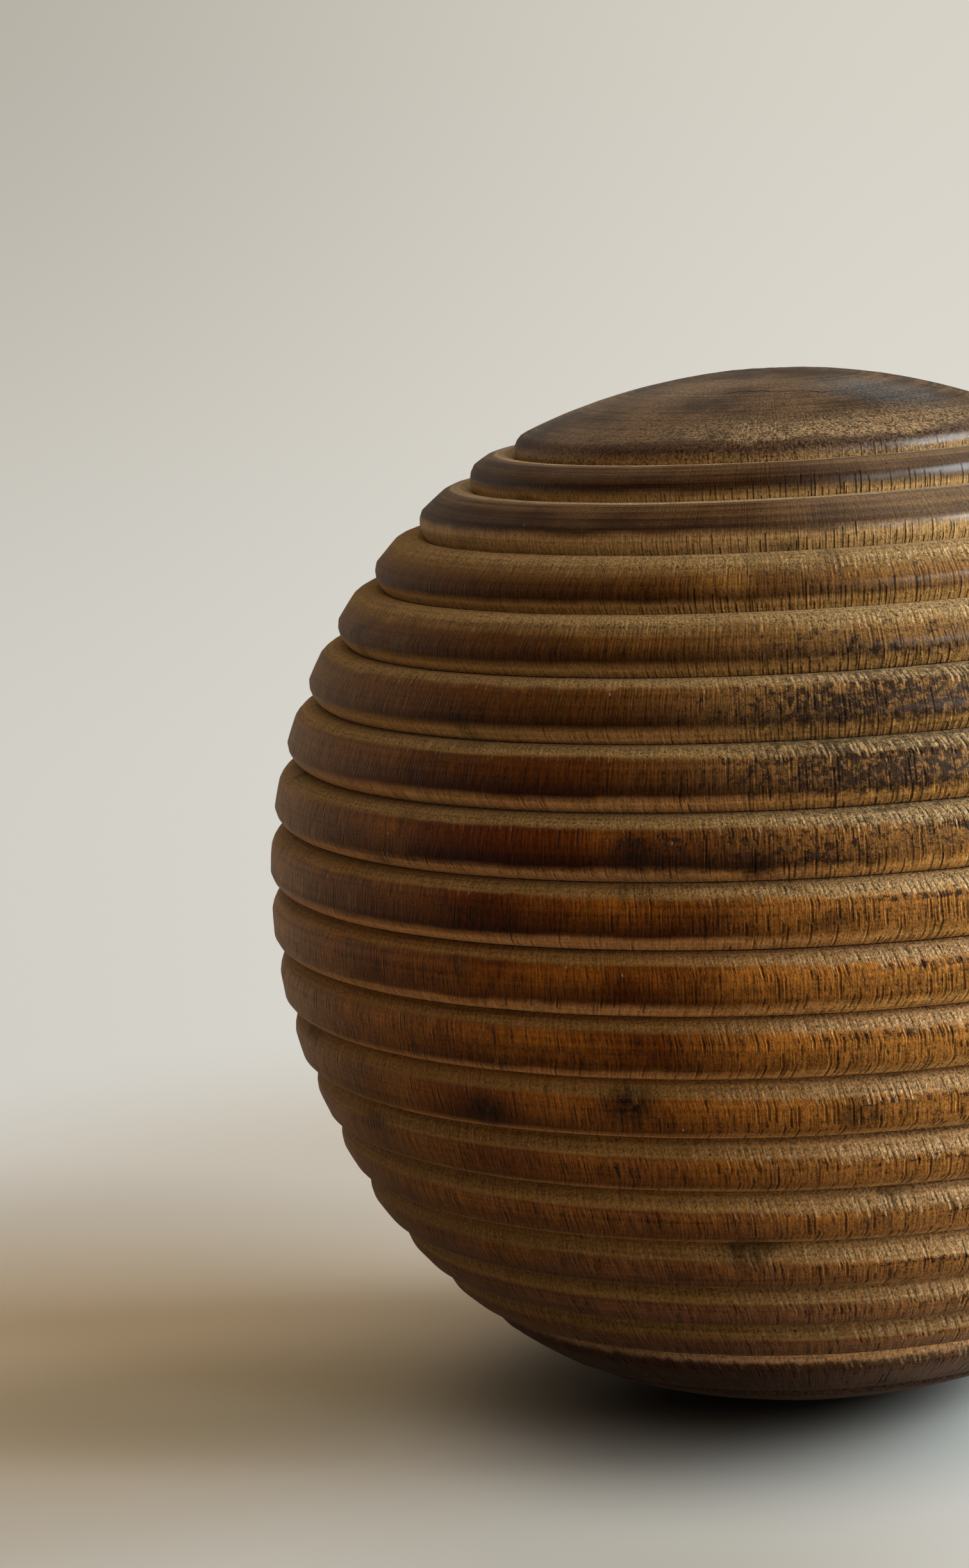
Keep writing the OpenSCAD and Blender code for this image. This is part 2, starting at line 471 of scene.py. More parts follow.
# The dusty tan shoulders
SHOULDER_TAN = colour(0.200, 0.124, 0.048), colour(0.29, 0.200, 0.095)
LOW_SHOULDER_TAN = colour(0.215, 0.108, 0.030), colour(0.36, 0.215, 0.098)

# The bare lips, with painted light at their edges and painted shade on the top lips at the left
BARE_LIP = colour(0.30, 0.145, 0.052), colour(0.48, 0.275, 0.080)
LIP_EDGE = colour(0.75, 0.47, 0.20)
LOW_LIP_EDGE = colour(0.85, 0.56, 0.32)
LOWER_LIP = colour(0.22, 0.095, 0.027), colour(0.36, 0.205, 0.085)
MIDDLE_LIP = colour(0.35, 0.195, 0.096)
UPPER_LIP = colour(0.29, 0.188, 0.072)
FADED_TOP_LIP = colour(0.11, 0.052, 0.018)
NECK_LIP = colour(0.15, 0.088, 0.034)

# The caps
END_GRAIN = colour(0.028, 0.013, 0.005), colour(0.088, 0.049, 0.022)
SCALY_DUST = colour(0.085, 0.052, 0.024), colour(0.25, 0.168, 0.088)
RIM_DARK = colour(0.040, 0.018, 0.009)
WORN_CAP = colour(0.15, 0.096, 0.058)
GREY_CAP = colour(0.078, 0.085, 0.088)
LOWER_CAP = colour(0.100, 0.052, 0.036)

# Dust and painted sheen at the far left, the last bead's painted shade and painted light, painted light
# on the lower right, what wear and dirt leave anywhere, and the dirt and painted shade in the grooves
FAR_LEFT_DUST = colour(0.20, 0.140, 0.088)
LAST_BEAD = colour(0.040, 0.017, 0.012)
LAST_BEAD_EDGE = colour(0.78, 0.44, 0.21)
LOW_RIGHT_BROWN = colour(0.16, 0.090, 0.060)
SOOT = colour(0.017, 0.010, 0.008)
DARK_MARK = colour(0.012, 0.006, 0.004)
TORN_FRINGE = colour(0.50, 0.355, 0.20)
WOOD_STAIN = colour(1.0, 0.84, 0.62)
GROOVE_DIRT = colour(0.006, 0.003, 0.002)
FLUFF = colour(0.55, 0.52, 0.48)
SHEEN = colour(1.0, 0.84, 0.66)

# Soft-edged places on the ball, in millimetres: the middle, the reach by axis, and the share of
# that reach within which the place is at its full strength
DRY_SIDE = (28.0, -40.0, 46.0), (44.0, 44.0, 70.0), 0.35
RUBBED_SIDE = (26.0, -30.0, 84.0), (30.0, 28.0, 30.0), 0.3
DUSTY_CAP_EDGE = (16.0, -26.0, 93.0), (38.0, 24.0, 14.0), 0.3
TICKED_FRONT = (14.0, -38.0, 84.0), (36.0, 30.0, 30.0), 0.4
SOOTY_FRONT = (8.0, -43.0, 68.5), (29.0, 24.0, 19.0), 0.15
SOOTY_STRIP = (-4.0, -48.5, 59.0), (26.0, 16.0, 6.5), 0.2
WORN_CAP_FRONT = (-5.0, -8.0, 97.0), (10.0, 4.5, 4.0), 0.2
WORN_CAP_LEFT = (-22.0, -17.0, 92.0), (9.0, 9.0, 5.0), 0.2
GREY_CAP_SPOT = (10.4, -9.5, 96.3), (10.0, 7.0, 5.0), 0.2
LOW_RIGHT = (24.0, -22.0, 7.0), (34.0, 28.0, 13.0), 0.2

# The fine crack in the upper cap: how far in front of the axis it runs, and its stretch
CRACK_FRONT = 12.1
CRACK_STRETCH = (1.2, -CRACK_FRONT, 96.8), (7.0, 4.0, 4.0), 0.6

# The darkest marks: the middle, and how far each one spreads
DARK_MARKS = [((-13.3, -46.3, 60.0), 3.6), ((-2.9, -48.4, 58.8), 2.8),
              ((-15.0, -45.8, 37.7), 4.0), ((-27.7, -39.1, 36.4), 3.5)]

# About how far each bead is down from the one above it, and how far up the first one is from the
# ball's middle, in radians
BEAD_TURN, FIRST_BEAD_TURN = 0.121, 0.934


# ------------------------------------------------------------------ the wood

def lay_out(wood):
    """Where a point is on the ball, and the noises and places that the finishes go by.

    Every one is a value.  Lengths are in millimetres, noises lie about 0, and places run from 0 to 1.
    """
    at = SimpleNamespace()
    spot = wood.node("ShaderNodeTexCoord", {}, {}, "Object")
    at.mm = wood.vector("SCALE", spot, 1000.0)
    split = wood.node("ShaderNodeSeparateXYZ", {}, {0: at.mm})
    at.x, at.y, at.height = split, split.other("Y"), split.other("Z")
    at.above = wood.attribute("from_groove_above")
    at.below = wood.attribute("to_groove_below")
    at.bead = wood.attribute("bead")

    # Millimetres round the bead from the middle of the front: the turn times the bead's own radius
    girth = (at.bead * BEAD_TURN - FIRST_BEAD_TURN).cosine() * HALF_D
    at.around = at.x.maths("ARCTAN2", at.x, -at.y) * girth
    at.low_beads = (at.bead + 0.5).rise(6.0, 9.0)
    # Fibres lean a little: one way near a lip on the low beads, and the other way on a shoulder
    at.leaning = at.around - at.below.least(3.0) * 0.35 * at.low_beads
    at.leaning = at.leaning + (3.0 - at.above).most(0.0) * 0.25
    # The fibres run up the ball and the tool's lines round it, and no bead goes on from the one above
    apart = at.bead * 7.0
    fibres = wood.node("ShaderNodeCombineXYZ", {}, {0: at.leaning, 1: apart, 2: at.height})
    tool_lines = wood.node("ShaderNodeCombineXYZ", {}, {0: at.below, 1: apart, 2: at.around})

    at.fibre = wood.noise(fibres, (5.0, 1.0, 0.40), 2.0, 0.65)
    at.patch = wood.noise(fibres, (0.9, 1.0, 0.40), 2.0, 0.5)
    at.tool = wood.noise(tool_lines, (2.2, 1.0, 0.02), 2.0, 0.6)
    at.speck = wood.noise(at.mm, (4.2, 4.2, 3.6), 2.0, 0.8)
    at.mottle = wood.noise(at.mm, (1.5, 1.5, 1.6), 3.0, 0.75)
    at.cloud = wood.noise(at.mm, (0.07, 0.07, 0.05), 3.0, 0.55)
    at.drift = wood.noise(at.mm, (0.16, 0.16, 0.10), 3.0, 0.6)
    at.stain = wood.noise(at.mm, (0.10, 0.10, 0.16), 2.0, 0.5)

    # The dry side, where the fibres stand up more; the side that hands rubbed shiny; the dusty front
    # edge of the cap; where nicks are thick; and the left side: dust and painted sheen, and shade
    # painted on lips
    at.dry = wood.blot(at.mm, *DRY_SIDE).most((at.cloud * 2 - 0.1).rise(0.1, 0.9))
    at.rubbed = wood.blot(at.mm, *RUBBED_SIDE)
    at.cap_dust = wood.blot(at.mm, *DUSTY_CAP_EDGE)
    at.ticked = at.dry.most(wood.blot(at.mm, *TICKED_FRONT))
    at.faded = (at.x * -1 + at.drift * 12).rise(25.0, 50.0)
    at.sooty = wood.blot(at.mm, *SOOTY_FRONT)
    at.sooty_low = wood.blot(at.mm, *SOOTY_STRIP) * (0.65 + at.cloud * 0.8)

    # Which beads: the caps, the two top beads, the second one, and wider groups down the ball
    at.lower_cap = (at.bead - (BEADS - 0.5)).rise(-0.1, 0.1)
    at.cap = (at.bead + 0.5).fall(-0.1, 0.1).most(at.lower_cap)
    at.top_beads = (at.bead + at.drift * 0.5).fall(1.2, 1.8) * (1 - at.cap)
    at.second = abs(at.bead - 1.0).fall(0.3, 0.7)
    at.third = (at.bead + at.drift).fall(2.3, 4.2)
    at.upper_beads = (at.bead + at.drift * 3).fall(3.0, 6.5)
    at.middle = (at.bead + at.drift * 2).rise(3.0, 5.0) * (at.bead + at.drift * 2).fall(7.0, 10.0)
    at.lower_beads = (at.bead + at.drift * 3).rise(8.5, 11.5)
    at.last_bead = (at.bead - (BEADS - 1.5)).rise(-0.1, 0.1) * (1 - at.cap)
    return at


def lay_out_bands(at):
    """Adds where each finish is on a bead or cap: by the distance from the grooves, raggedly."""
    lip_width = 1.3 + at.second * 0.9 + (at.bead + at.drift * 2).rise(2.0, 4.0) * 0.3
    lip_width = lip_width + at.low_beads * 0.6 - (at.bead + at.drift).rise(12.5, 15.0) * 1.4
    lip_width = lip_width + at.cap * at.dry * 0.8 + at.middle * 0.4
    to_lip = at.below - lip_width
    at.shoulder_width = 2.5 + at.dry * 0.4 + at.third * 1.6 - at.top_beads * 2.9
    at.shoulder_width = at.shoulder_width - at.low_beads * 0.7 + at.lower_beads * 0.5

    ragged = at.fibre * (0.6 + at.dry * 1.2) + at.speck * 0.8 + at.drift * 0.8 + at.patch * at.dry
    soft = 0.2 + at.third * 1.1
    at.shoulder = (at.above - at.shoulder_width + ragged).fall(-soft, soft) * (1 - at.cap)
    at.lip = (to_lip + at.fibre * 0.5 + at.drift * 0.9 + at.patch * at.dry * 1.6).fall(-0.6, 0.5)
    at.rim = (at.below + at.drift * 3 + at.mottle * 1.5).fall(2.7, 3.7) * at.cap * (1 - at.dry * 0.7)
    at.scaly = (at.below + at.drift * 9 + at.mottle * 3).fall(4.6, 9.0) * at.cap * at.cap_dust
    # Dirt and painted shade in the grooves: near black within a fraction of a millimetre of each groove
    at.dirt = (at.above.least(at.below) + at.speck * 0.12 + at.patch * 0.1).fall(0.02, 0.16)

    # The foot of a face, darker just above the lip
    foot = (to_lip + at.drift * 1.5).fall(0.3, 3.2)
    foot = foot * (1 - at.low_beads * 0.3) * (1 - at.dry * 0.62)
    foot = foot * (1 - at.upper_beads * 0.25) * (1 - at.faded * 0.8) * (1 - at.lower_beads * 0.3)
    at.face_foot = foot


def face_colour(wood, at):
    """The stained faces: golden to deep brown in clouds, olive above, plain brown below."""
    golden = (at.cloud * 2.0 + 0.1 + at.dry * 0.5 + at.low_beads * 0.5).rise(0.1, 0.9)
    face = wood.mix(golden, *FACE_STAIN)
    face = wood.mix((at.drift * 2 + at.mottle + 0.15).rise(0.1, 0.9) * 0.75, face, FACE_SHADOW)
    face = wood.mix(at.upper_beads * 0.7, face, wood.mix(at.dry, *UPPER_FACE))
    face = wood.mix((at.bead + at.drift * 4).rise(8.0, 14.0) * 0.6, face, LOW_FACE)
    face = wood.mix((at.bead + at.drift * 3).rise(11.5, 14.5) * 0.6, face, LOWEST_FACE)
    face = wood.mix(at.dry * 0.45, face, DRY_FACE)
    face = wood.mix(at.sooty * 0.65, face, SMOKED_FACE)
    streaked = wood.mix((at.tool * 2 + at.drift + 0.5).rise(0.2, 0.8), *STREAKS)
    streaked = wood.mix(at.dry * 0.8, streaked, DRY_STREAKS)
    face = wood.mix(at.top_beads * 0.85, face, streaked)
    # Dust and painted sheen: a pale veil over the faces on the left side
    face = wood.mix(at.faded * 0.5, face, DUST_VEIL)
    face = wood.mix(at.face_foot * 0.94, face, FACE_FOOT)
    line = (at.above - at.second * 0.1 + at.drift * 0.7).fall(2.1, 2.6) * at.top_beads
    return wood.mix(line * (0.7 + at.mottle), face, TOP_LINE)


def shoulder_colour(wood, at):
    """The dusty tan of the upper shoulders."""
    low_tan = wood.mix(at.dry, *LOW_SHOULDER_TAN)
    return wood.mix(at.low_beads * 0.9, wood.mix(at.dry, *SHOULDER_TAN), low_tan)


def lip_colour(wood, at):
    """The bare lips: lightest right at the groove, as painted light from the table on their
    downward-facing edge, and browner at both ends of the ball, with painted shade on the top lips at the
    left.
    """
    bare = wood.mix(at.dry * 0.7 + at.drift, *BARE_LIP)
    # Painted light from the table on the lip's downward-facing edge, lightest right at the groove
    bare = wood.mix(at.below.fall(0.0, 1.4) * 0.6, bare, LIP_EDGE)
    bare = wood.mix(at.below.fall(0.1, 0.5) * at.low_beads * 0.6, bare, LOW_LIP_EDGE)
    bare = wood.mix(at.lower_beads * 0.7, bare, wood.mix(at.dry, *LOWER_LIP))
    bare = wood.mix(at.middle * (1 - at.dry) * 0.6, bare, MIDDLE_LIP)
    bare = wood.mix(at.upper_beads * 0.6, bare, UPPER_LIP)
    # Painted shade on the top beads' lips at the left side
    bare = wood.mix(at.top_beads * at.faded * 0.8, bare, FADED_TOP_LIP)
    return wood.mix((at.bead + 0.5 + at.drift).fall(0.0, 0.8) * 0.6, bare, NECK_LIP)


def cap_colour(wood, at):
    """The caps' end grain, with a ring of scaly dust, a dark rim, worn places and a greyed spot."""
    grain = wood.mix((at.drift * 2 + at.tool + 0.5).rise(0.2, 0.8), *END_GRAIN)
    scale = wood.mix((at.mottle * 4 + at.speck * 3 + 0.6).rise(0.1, 0.9), *SCALY_DUST)
    grain = wood.mix(at.scaly * 0.8, grain, scale)
    grain = wood.mix(at.rim * 0.85, grain, RIM_DARK)
    worn = wood.blot(at.mm, *WORN_CAP_FRONT).most(wood.blot(at.mm, *WORN_CAP_LEFT))
    grain = wood.mix(worn * (0.4 + at.mottle), grain, WORN_CAP)
    grain = wood.mix(wood.blot(at.mm, *GREY_CAP_SPOT) * (0.55 + at.mottle), grain, GREY_CAP)
    return wood.mix(at.lower_cap * 0.7, grain, LOWER_CAP)


def soot_and_marks(wood, at, base):
    """The colour base with small spots of soot, most of them on the front, and darker marks.

    Where the soot lies is kept, because it is smoother than the wood.
    """
    edge = abs(at.above - at.shoulder_width - 0.4).fall(0.1, 0.8) * (0.15 + at.dry * 0.6)
    thick = (at.sooty * 0.9).most(edge).most(at.sooty_low)
    soot = (at.mottle * 2.6 + at.speck + thick + at.patch * 0.3 - 0.72).rise(0.0, 0.2)
    at.soot = soot * (1 - at.lip * 0.7 - at.shoulder * 0.3)
    base = wood.mix(at.soot * 0.9, base, SOOT)
    marks = (at.stain - 0.12).rise(0.0, 0.14) * 0.65
    for middle, size in DARK_MARKS:
        marks = marks.most(wood.blot(at.mm, middle, (size, size, size * 0.7), 0.15))
    return wood.mix((marks + at.mottle * marks * 1.8) * 0.88, base, DARK_MARK)


def torn_fibres(wood, at):
    """Fibres torn by the gouge, each one a line down the middle of an irregular cell.

    On the faces they are short upright lines, each with a raised burr beside it that is also lightened
    as a painted highlight.  Nicks run right across the lips, with a ridge painted as a highlight.  A
    fringe of light fibres with gaps, darkened as painted shade, hangs below the shoulders.
    """
    side, along, chance, other = wood.cells(at.leaning, at.height + at.bead * 31.0, 0.60, 3.0)
    reach = (abs(along) - other * 1.5 - 0.25).fall(-0.2, 0.1)
    where = (at.patch + at.dry * 0.35 + 0.12).rise(0.0, 0.35) * (1 - at.cap) * (1 - at.shoulder * 0.9)
    where = where * (1 - at.top_beads * 0.7) * (1 - at.upper_beads * 0.4)
    at.torn = abs(side).fall(0.04, 0.13) * reach * chance.rise(0.25, 0.45) * where
    # A raised burr beside each tear, also lightened as a painted highlight
    at.burr = abs(side + 0.17).fall(0.03, 0.12) * reach * chance.rise(0.35, 0.55) * where

    side, _, chance, other = wood.cells(at.leaning, at.below * 0.1 + at.bead * 17.0, 0.70, 1.0)
    reach = (at.below - (0.4 + other * 1.6) * (0.5 + at.ticked * 0.9)).fall(-0.1, 0.15)
    reach = reach * (0.3 + at.ticked * 0.7) * chance.rise(0.05, 0.35)
    at.nick = abs(side).fall(0.02, 0.12) * reach
    # A painted highlight beside each nick
    at.ridge = abs(side - 0.22).fall(0.04, 0.14) * reach

    side, _, chance, other = wood.cells(at.leaning, at.above * 0.1 + at.bead * 19.0, 0.62, 1.0)
    reach = (at.above - at.shoulder_width - other * 1.2 + 0.6).fall(-0.1, 0.2)
    reach = reach * (at.above - at.shoulder_width).rise(-1.6, -0.9)
    reach = reach * (at.dry + 0.15) * (1 - at.top_beads) * (1 - at.cap) * chance.rise(0.1, 0.4)
    # Gaps in the fringe, darkened as painted shade
    at.gap = abs(side - 0.24).fall(0.03, 0.12) * reach
    at.fringe = abs(side).fall(0.05, 0.17) * reach


def fluff(wood, at):
    """Small tufts of lint, in a few of the cells."""
    side, along, chance, _ = wood.cells(at.around, at.height + at.bead * 31.0, 5.0, 5.0)
    return (side * side * 2 + along * along * 0.4).fall(0.002, 0.012) * chance.rise(0.84, 0.88)


def shading(at, crack):
    """How dark the fibres, specks, tears and grooves leave the wood, where 1 is as it is, with painted
    shade towards the bottom and the left, painted highlights beside burrs and nicks, and painted shade
    in the fringe's gaps.
    """
    fibre = at.fibre * 3.2 * (1 - at.cap * 0.8) * (1 - at.shoulder * 0.55) * (1 - at.lip * 0.35)
    shade = 1 + fibre * (1 - at.top_beads * (1 - at.lip) * 0.7)
    dusty = (at.shoulder * (1 - at.low_beads * 0.6)).most(at.cap * 1.9)
    shade = shade + at.speck * (1.8 + at.dry * 1.2 + dusty * 1.4) + at.tool * 1.2
    # Painted shade: darker towards the bottom of the ball and its left side
    shade = shade * (1 - (at.height + at.x * 0.45).fall(-8.0, 30.0) * 0.5)
    shade = shade * (1 - at.torn * (0.75 - at.dry * 0.2)) * (1 - at.nick * 0.65) * (1 - crack * 0.8)
    # Painted highlights beside the burrs and nicks, and painted shade in the fringe's gaps
    return (shade * (1 + at.burr * 0.6) * (1 + at.ridge * 0.35) * (1 - at.gap * 0.6)).most(0.05)


def turned_wood():
    """Dark turned wood: dusty tan shoulders, stained faces, bare lips, dirty grooves, torn fibres."""
    wood = Finish(bpy.data.materials.new("turned_wood_finish"))
    at = lay_out(wood)
    lay_out_bands(at)

    base = wood.mix(at.shoulder * (1 - at.top_beads), face_colour(wood, at), shoulder_colour(wood, at))
    base = wood.mix(at.cap, base, cap_colour(wood, at))
    base = wood.mix(at.lip, base, lip_colour(wood, at))
    # Dust and painted sheen along the far left edge of the ball
    base = wood.mix((at.x * -1 + at.drift * 5).rise(40.0, 49.0) * 0.45, base, FAR_LEFT_DUST)

    # The last bead: painted light on its upper edge, stronger to the right, over a face darkened as
    # painted shade near the table, less so on the right
    base = wood.mix(at.last_bead * (1 - at.lip) * (0.85 - at.dry * 0.6), base, LAST_BEAD)
    light_edge = at.last_bead * (at.above + at.patch * 0.9).fall(1.5, 2.2)
    light_edge = light_edge * (at.x + at.drift * 20).rise(-40.0, 12.0)
    base = wood.mix(light_edge * (1.0 + at.mottle), base, LAST_BEAD_EDGE)
    # Painted light: a lighter brown on the lower right, where the window's light reaches the foot
    low_right = wood.blot(at.mm, *LOW_RIGHT) * (0.45 + at.mottle) * at.above.rise(2.2, 4.0)
    base = wood.mix(low_right, base, LOW_RIGHT_BROWN)

    base = soot_and_marks(wood, at, base)
    crack = abs(at.y + CRACK_FRONT + at.drift * 4).fall(0.06, 0.22) * wood.blot(at.mm, *CRACK_STRETCH)
    torn_fibres(wood, at)
    base = wood.mix(at.fringe * 0.6, base, TORN_FRINGE)
    base = wood.vector("SCALE", base, shading(at, crack))
    stained = (1 - at.shoulder * 0.6) * (1 - at.cap.most(at.top_beads) * 0.8)
    stained = stained * (1 - at.upper_beads.most(at.dry).most(at.lower_beads) * 0.35)
    base = wood.mix(stained, base, WOOD_STAIN, "MULTIPLY")
    # The grooves' dirt and painted shade
    base = wood.mix(at.dirt * 0.92, base, GROOVE_DIRT)
    base = wood.mix(fluff(wood, at) * 0.3, base, FLUFF)

    # Height of the fine relief: in millimetres, then in metres
    relief = at.fibre * 0.10 * (1 - at.shoulder * 0.6)
    relief = relief + at.speck * (0.07 + at.dry * 0.07 + at.shoulder * 0.12)
    relief = relief - at.torn * 0.13 - at.nick * 0.12 + at.burr * 0.07 + at.tool * 0.03
    relief = (relief + at.mottle * 0.04 - crack * 0.1) * 0.001
    bump = wood.node("ShaderNodeBump", {}, {"Strength": 1.0, "Distance": 1.0, "Height": relief})

    # Rough wood, with a worn polish that the tears and the caps' end grain break
    roughness = 0.50 + at.shoulder * 0.20 + at.lip * 0.04 - at.soot * 0.05 + at.speck * 0.15
    polish = at.top_beads.most(at.rim) * (0.03 + at.dry * 0.4)
    polish = polish + (1 - at.shoulder) * (at.dry * 0.05 + at.rubbed * 0.45)
    polish = polish * (1 - at.torn) * (1 - at.nick * 0.8) * (1 - at.cap * (1 - at.rim - at.lip))
    shader = wood.node("ShaderNodeBsdfPrincipled", {}, {
        "Base Color": base, "Roughness": roughness, "Normal": bump,
        "IOR": 1.45, "Specular IOR Level": 0.03,
        "Coat Weight": polish, "Coat Roughness": 0.27, "Coat IOR": 1.45,
        "Sheen Weight": 0.06, "Sheen Roughness": 0.35, "Sheen Tint": SHEEN})
    wood.node("ShaderNodeOutputMaterial", {}, {"Surface": shader})
    return wood.owner


# ------------------------------------------------------------------ table, wall, light and camera

# The table's front edge, where it starts to bend up, the bend's radius, the wall's top and half the
# width of both, in metres
TABLE_FRONT, TABLE_BEND, BEND_R, WALL_TOP, TABLE_HALF_WIDTH = -1.6, 1.1, 0.5, 2.2, 2.6

# The plain paint of the whole room, and the dim light that the room gives back
PLAIN = colour(0.64, 0.63, 0.59)
DIM_WARM = colour(0.15, 0.10, 0.055)
# The table's top to the left and to the right of the ball, each from in front of the ball to beside it,
# and the table's top behind the ball, with painted light and shade: darker and warmer on the left
LEFT_OF_BALL = colour(0.43, 0.42, 0.395), colour(0.60, 0.535, 0.44)
RIGHT_OF_BALL = colour(0.56, 0.555, 0.53), colour(0.70, 0.69, 0.66)
TABLE_BACK = colour(0.53, 0.50, 0.455)
# The wall's painted fall of light, low down and high up, from its left to its right
WALL_LOW = colour(0.64, 0.62, 0.565), colour(0.74, 0.72, 0.66)
WALL_HIGH = colour(0.45, 0.42, 0.36), colour(0.68, 0.64, 0.56)

# Painted shadows of the ball and painted cool shade on the table top, in metres, and the tint or colour
# of each
FRONT_PATCH = (-0.016, -0.10, 0.0), (0.045, 0.10, 0.03)
LEFT_PATCH = (-0.058, -0.003, 0.0), (0.055, 0.028, 0.03)
PATCH_TINT = colour(0.73, 0.72, 0.66)
RIGHT_TINT = colour(0.84, 0.85, 0.88)
COOL_PATCH = (0.020, -0.020, 0.0), (0.045, 0.030, 0.03)
COOL_TINT = colour(0.94, 0.99, 0.98)
UNDER_BALL = (-0.007, -0.006, 0.0), (0.036, 0.048, 0.03)
UNDER_BALL_DARK = colour(0.05, 0.042, 0.036)
TOUCH = (-0.010, -0.008, 0.0), (0.016, 0.011, 0.03), 0.1
TOUCH_DARK = colour(0.010, 0.009, 0.009)

# The fixed point that the wall's gradient is drawn from: how far in front of the ball, and how high
GRADIENT_FRONT, GRADIENT_HEIGHT = 0.427, 0.124

# The lamps: the way to each from the ball, how far it is and its width and height in metres, its
# watts and its tint
LAMPS = {
    "window": ((1.0, -0.10, 0.47), 1.6, (1.15, 0.80), 46.0, (0.86, 0.94, 1.0)),
    "pane": ((0.64, -0.77, 0.50), 1.5, (0.30, 0.50), 3.8, (0.78, 0.89, 1.0)),
    "room_side": ((0.68, -0.73, 0.42), 1.5, (1.4, 1.1), 8.0, (1.0, 0.89, 0.72)),
    "ceiling": ((-0.15, 0.20, 1.0), 1.4, (1.5, 1.5), 7.6, (1.0, 0.80, 0.54)),
    "wall_side": ((-0.90, 0.42, 0.12), 1.3, (1.0, 0.8), 3.6, (1.0, 0.90, 0.76)),
}

# The lens's length and the frame's longer side in pixels of the frame, and the film's width in
# millimetres
LENS_PIXELS, FRAME_PIXELS, FILM_WIDTH = 7000, 2447, 36.0
# The ball's middle to the camera's right, down and ahead, counted in this many metres, and the
# degrees by which its axis leans sideways and tilts towards the camera
SPOT_UNIT, BALL_SPOT = 0.0499, (0.59148, 0.18449, 8.65967)
LEAN, TILT = -3.170, 8.652


def build_table():
    """The table top and the wall behind it in one sweep: flat, then a quarter round, then upright."""
    t = np.linspace(0, math.pi / 2, 25)
    flat = [TABLE_FRONT, -0.4, 0, 0.4]
    y = np.concatenate([flat, TABLE_BEND + BEND_R * np.sin(t), [TABLE_BEND + BEND_R]])
    z = np.concatenate([np.zeros(len(flat)), BEND_R * (1 - np.cos(t)), [WALL_TOP]])
    x = np.linspace(-TABLE_HALF_WIDTH, TABLE_HALF_WIDTH, 12)
    points = np.stack(np.broadcast_arrays(x[None, :], y[:, None], z[:, None]), axis=2).reshape(-1, 3)
    a = (np.arange(len(y) - 1)[:, None] * len(x) + np.arange(len(x) - 1)[None, :]).ravel()
    quads = np.stack([a, a + 1, a + 1 + len(x), a + len(x)], axis=1)
    mesh = bpy.data.meshes.new("table")
    mesh.from_pydata(points.tolist(), [], quads.tolist())
    mesh.polygons.foreach_set("use_smooth", np.ones(len(mesh.polygons), bool))
    table = bpy.data.objects.new("table", mesh)
    bpy.context.scene.collection.objects.link(table)
    return table


def table_top(paint, spot, across, back):
    """The matt paint's colour round the ball, with light and shade painted in: darker and warmer to the
    left, lighter to the right, painted shadows in front and to the left, cool painted shade near the
    ball, and a painted contact shadow where the ball stands.
    """
    # Painted light and shade: the left darker and warmer, the right lighter
    beside = back.rise(-0.07, 0.02)
    left, right = paint.mix(beside, *LEFT_OF_BALL), paint.mix(beside, *RIGHT_OF_BALL)
    top = paint.mix(across.rise(-0.09, 0.04), left, right)
    top = paint.mix(back.rise(0.035, 0.08), top, TABLE_BACK)
    # Painted soft shadows of the ball in front of it and to its left
    patches = paint.blot(spot, *FRONT_PATCH).most(paint.blot(spot, *LEFT_PATCH))
    top = paint.mix(patches, top, PATCH_TINT, "MULTIPLY")
    # Painted cool shade to the right and near the ball
    top = paint.mix(across.rise(0.02, 0.08), top, RIGHT_TINT, "MULTIPLY")
    top = paint.mix(paint.blot(spot, *COOL_PATCH), top, COOL_TINT, "MULTIPLY")
    # Painted shadow under the ball, and a painted contact shadow darkest where it stands
    top = paint.mix(paint.blot(spot, *UNDER_BALL) * 0.86, top, UNDER_BALL_DARK)
    return paint.mix(paint.blot(spot, *TOUCH) * 0.7, top, TOUCH_DARK)


def shown_ray(finish):
    """1 for what is seen straight, in a reflection or through glass, and 0 for light on the ball."""
    path = finish.node("ShaderNodeLightPath", {}, {}, "Is Camera Ray")
    return path.most(path.other("Is Glossy Ray")).most(path.other("Is Transmission Ray"))


